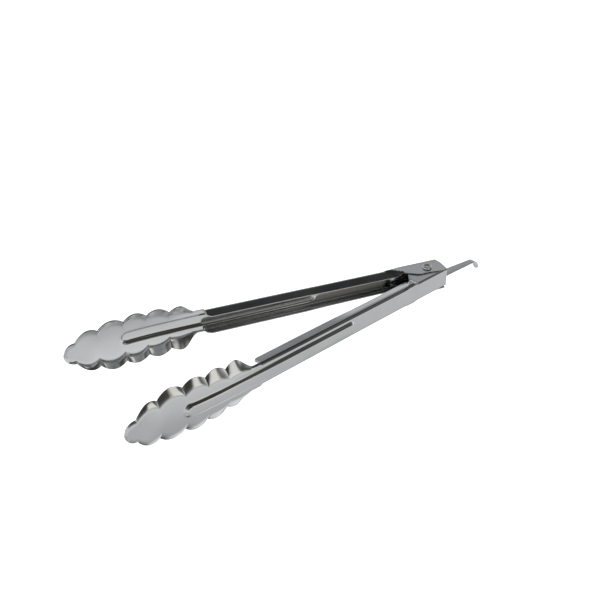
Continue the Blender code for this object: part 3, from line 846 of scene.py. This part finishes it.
def build_sky():
    """Light tent, dark overhead; its lower half is what the steel mirrors instead of the floor."""
    world = bpy.data.worlds.new("studio")
    bpy.context.scene.world = world
    nodes = Nodes(world, "Background")
    place_node = nodes.add("ShaderNodeTexCoord")
    split = nodes.add("ShaderNodeSeparateXYZ")
    angle = nodes.add("ShaderNodeMath", operation="ARCSINE")
    elevation = nodes.add("ShaderNodeMapRange")
    elevation.inputs["From Min"].default_value = -math.pi / 2
    elevation.inputs["From Max"].default_value = math.pi / 2
    nodes.link(place_node.outputs["Generated"], split.inputs["Vector"])
    nodes.link(split.outputs["Z"], angle.inputs[0])
    nodes.link(angle.outputs["Value"], elevation.inputs["Value"])

    level = nodes.add("ShaderNodeVectorMath", operation="MULTIPLY")
    level.inputs[1].default_value = (1.0, 1.0, 0.0)
    heading = nodes.add("ShaderNodeVectorMath", operation="NORMALIZE")
    nearness = nodes.add("ShaderNodeVectorMath", operation="DOT_PRODUCT")
    nearness.inputs[1].default_value = NEAR_DIRECTION
    nodes.link(place_node.outputs["Generated"], level.inputs[0])
    nodes.link(level.outputs["Vector"], heading.inputs[0])
    nodes.link(heading.outputs["Vector"], nearness.inputs[0])
    share = nodes.add("ShaderNodeMapRange", interpolation_type="SMOOTHSTEP")
    share.inputs["From Min"].default_value = NEAR_SHARE[0]
    share.inputs["From Max"].default_value = NEAR_SHARE[1]
    nodes.link(nearness.outputs["Value"], share.inputs["Value"])

    mix = nodes.add("ShaderNodeMix", data_type="RGBA")
    nodes.link(share.outputs["Result"], mix.inputs["Factor"])
    far = sky_bands(nodes, elevation.outputs["Result"], FAR_SKY, FAR_TINT)
    near = sky_bands(nodes, elevation.outputs["Result"], NEAR_SKY, NEAR_TINT)
    nodes.link(far, mix.inputs["A"])
    nodes.link(near, mix.inputs["B"])
    nodes.link(mix.outputs["Result"], nodes.shader.inputs["Color"])


def add_area_light(name, place_at, aim, size, power, glossy):
    data = bpy.data.lights.new(name, "AREA")
    data.shape = "SQUARE"
    data.size = size
    data.energy = power
    light = bpy.data.objects.new(name, data)
    bpy.context.scene.collection.objects.link(light)
    light.location = place_at
    light.rotation_euler = (Vector(aim) - Vector(place_at)).to_track_quat("-Z", "Y").to_euler()
    light.visible_glossy = glossy
    light.visible_camera = False
    return light


def add_lights():
    for number, (size, power) in enumerate(WINDOWS):
        spot = Vector(WINDOW_PLACE) * (1.0 + WINDOW_SPACING * number)
        window = add_area_light("window", spot, WINDOW_AIM, size, power, True)
        window.data.color = WINDOW_TINT
    for name, (spot, size, power) in CEILING_LIGHTS.items():
        add_area_light(name, spot, (0.0, 0.0, 0.0), size, power, False)


def build_camera(pivot):
    azimuth = math.radians(CAMERA_AZIMUTH)
    elevation = math.radians(CAMERA_ELEVATION)
    look = Vector((-math.sin(azimuth) * math.cos(elevation), math.cos(azimuth) * math.cos(elevation),
                   -math.sin(elevation)))
    right = look.cross(Vector((0.0, 0.0, 1.0))).normalized()
    upward = right.cross(look)
    data = bpy.data.cameras.new("camera")
    data.sensor_width = SENSOR
    data.lens = CAMERA_LENS
    data.clip_start, data.clip_end = CAMERA_RANGE
    camera = bpy.data.objects.new("camera", data)
    bpy.context.scene.collection.objects.link(camera)
    turn = Matrix((right, upward, -look)).transposed().to_4x4()
    camera.matrix_world = Matrix.Translation(pivot + Vector(CAMERA_PLACE) * MM) @ turn
    bpy.context.scene.camera = camera


def rivet_middle():
    """The rivet's axis at half its height, read from the frame."""
    low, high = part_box("pivot_rivet")
    return Vector([(low[axis] + high[axis]) / 2 for axis in range(3)])


def main():
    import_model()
    pivot = rivet_middle()

    steels = {name: steel(name, *values) for name, values in STEELS.items()}
    edge_steel = steels["sheared_edge"]
    wire_steel = steels["spring_steel"]
    # The inner arm gets the darker copy of the arm steel, which is painted shade.
    for kind, side in (("outer", 1), ("inner", -1)):
        arm = build_arm(kind + "_arm_sheet", kind, side, steels[kind + "_arm_steel"], edge_steel)
        place(arm, pivot, kind + "_arm", kind + "_arm")
    rivet = make_object("rivet", revolve(rivet_profile(), RIVET_SIDES), steels["rivet_steel"])
    place(rivet, pivot, "pivot", "pivot_rivet")
    coil = make_object("spring_coil", tube(coil_path(), WIRE_RADIUS, WIRE_SIDES), wire_steel)
    place(coil, pivot, "pivot", "torsion_spring")
    outer_angle, inner_angle = coil_ends()
    for name, side, angle, height, body in (("outer_leg", 1, outer_angle, COIL_TOP, "outer_arm"),
                                            ("inner_leg", -1, inner_angle, COIL_BOTTOM, "inner_arm")):
        leg = make_object("spring_" + name, tube(leg_path(side, angle, height), WIRE_RADIUS, WIRE_SIDES),
                          wire_steel)
        place(leg, pivot, body)
    place(build_strip(steels["strip_steel"]), pivot, "lock_strip", "lock_strip")

    build_floor()
    build_sky()
    add_lights()
    build_camera(pivot)
    bpy.context.scene.view_settings.view_transform = "Standard"


main()
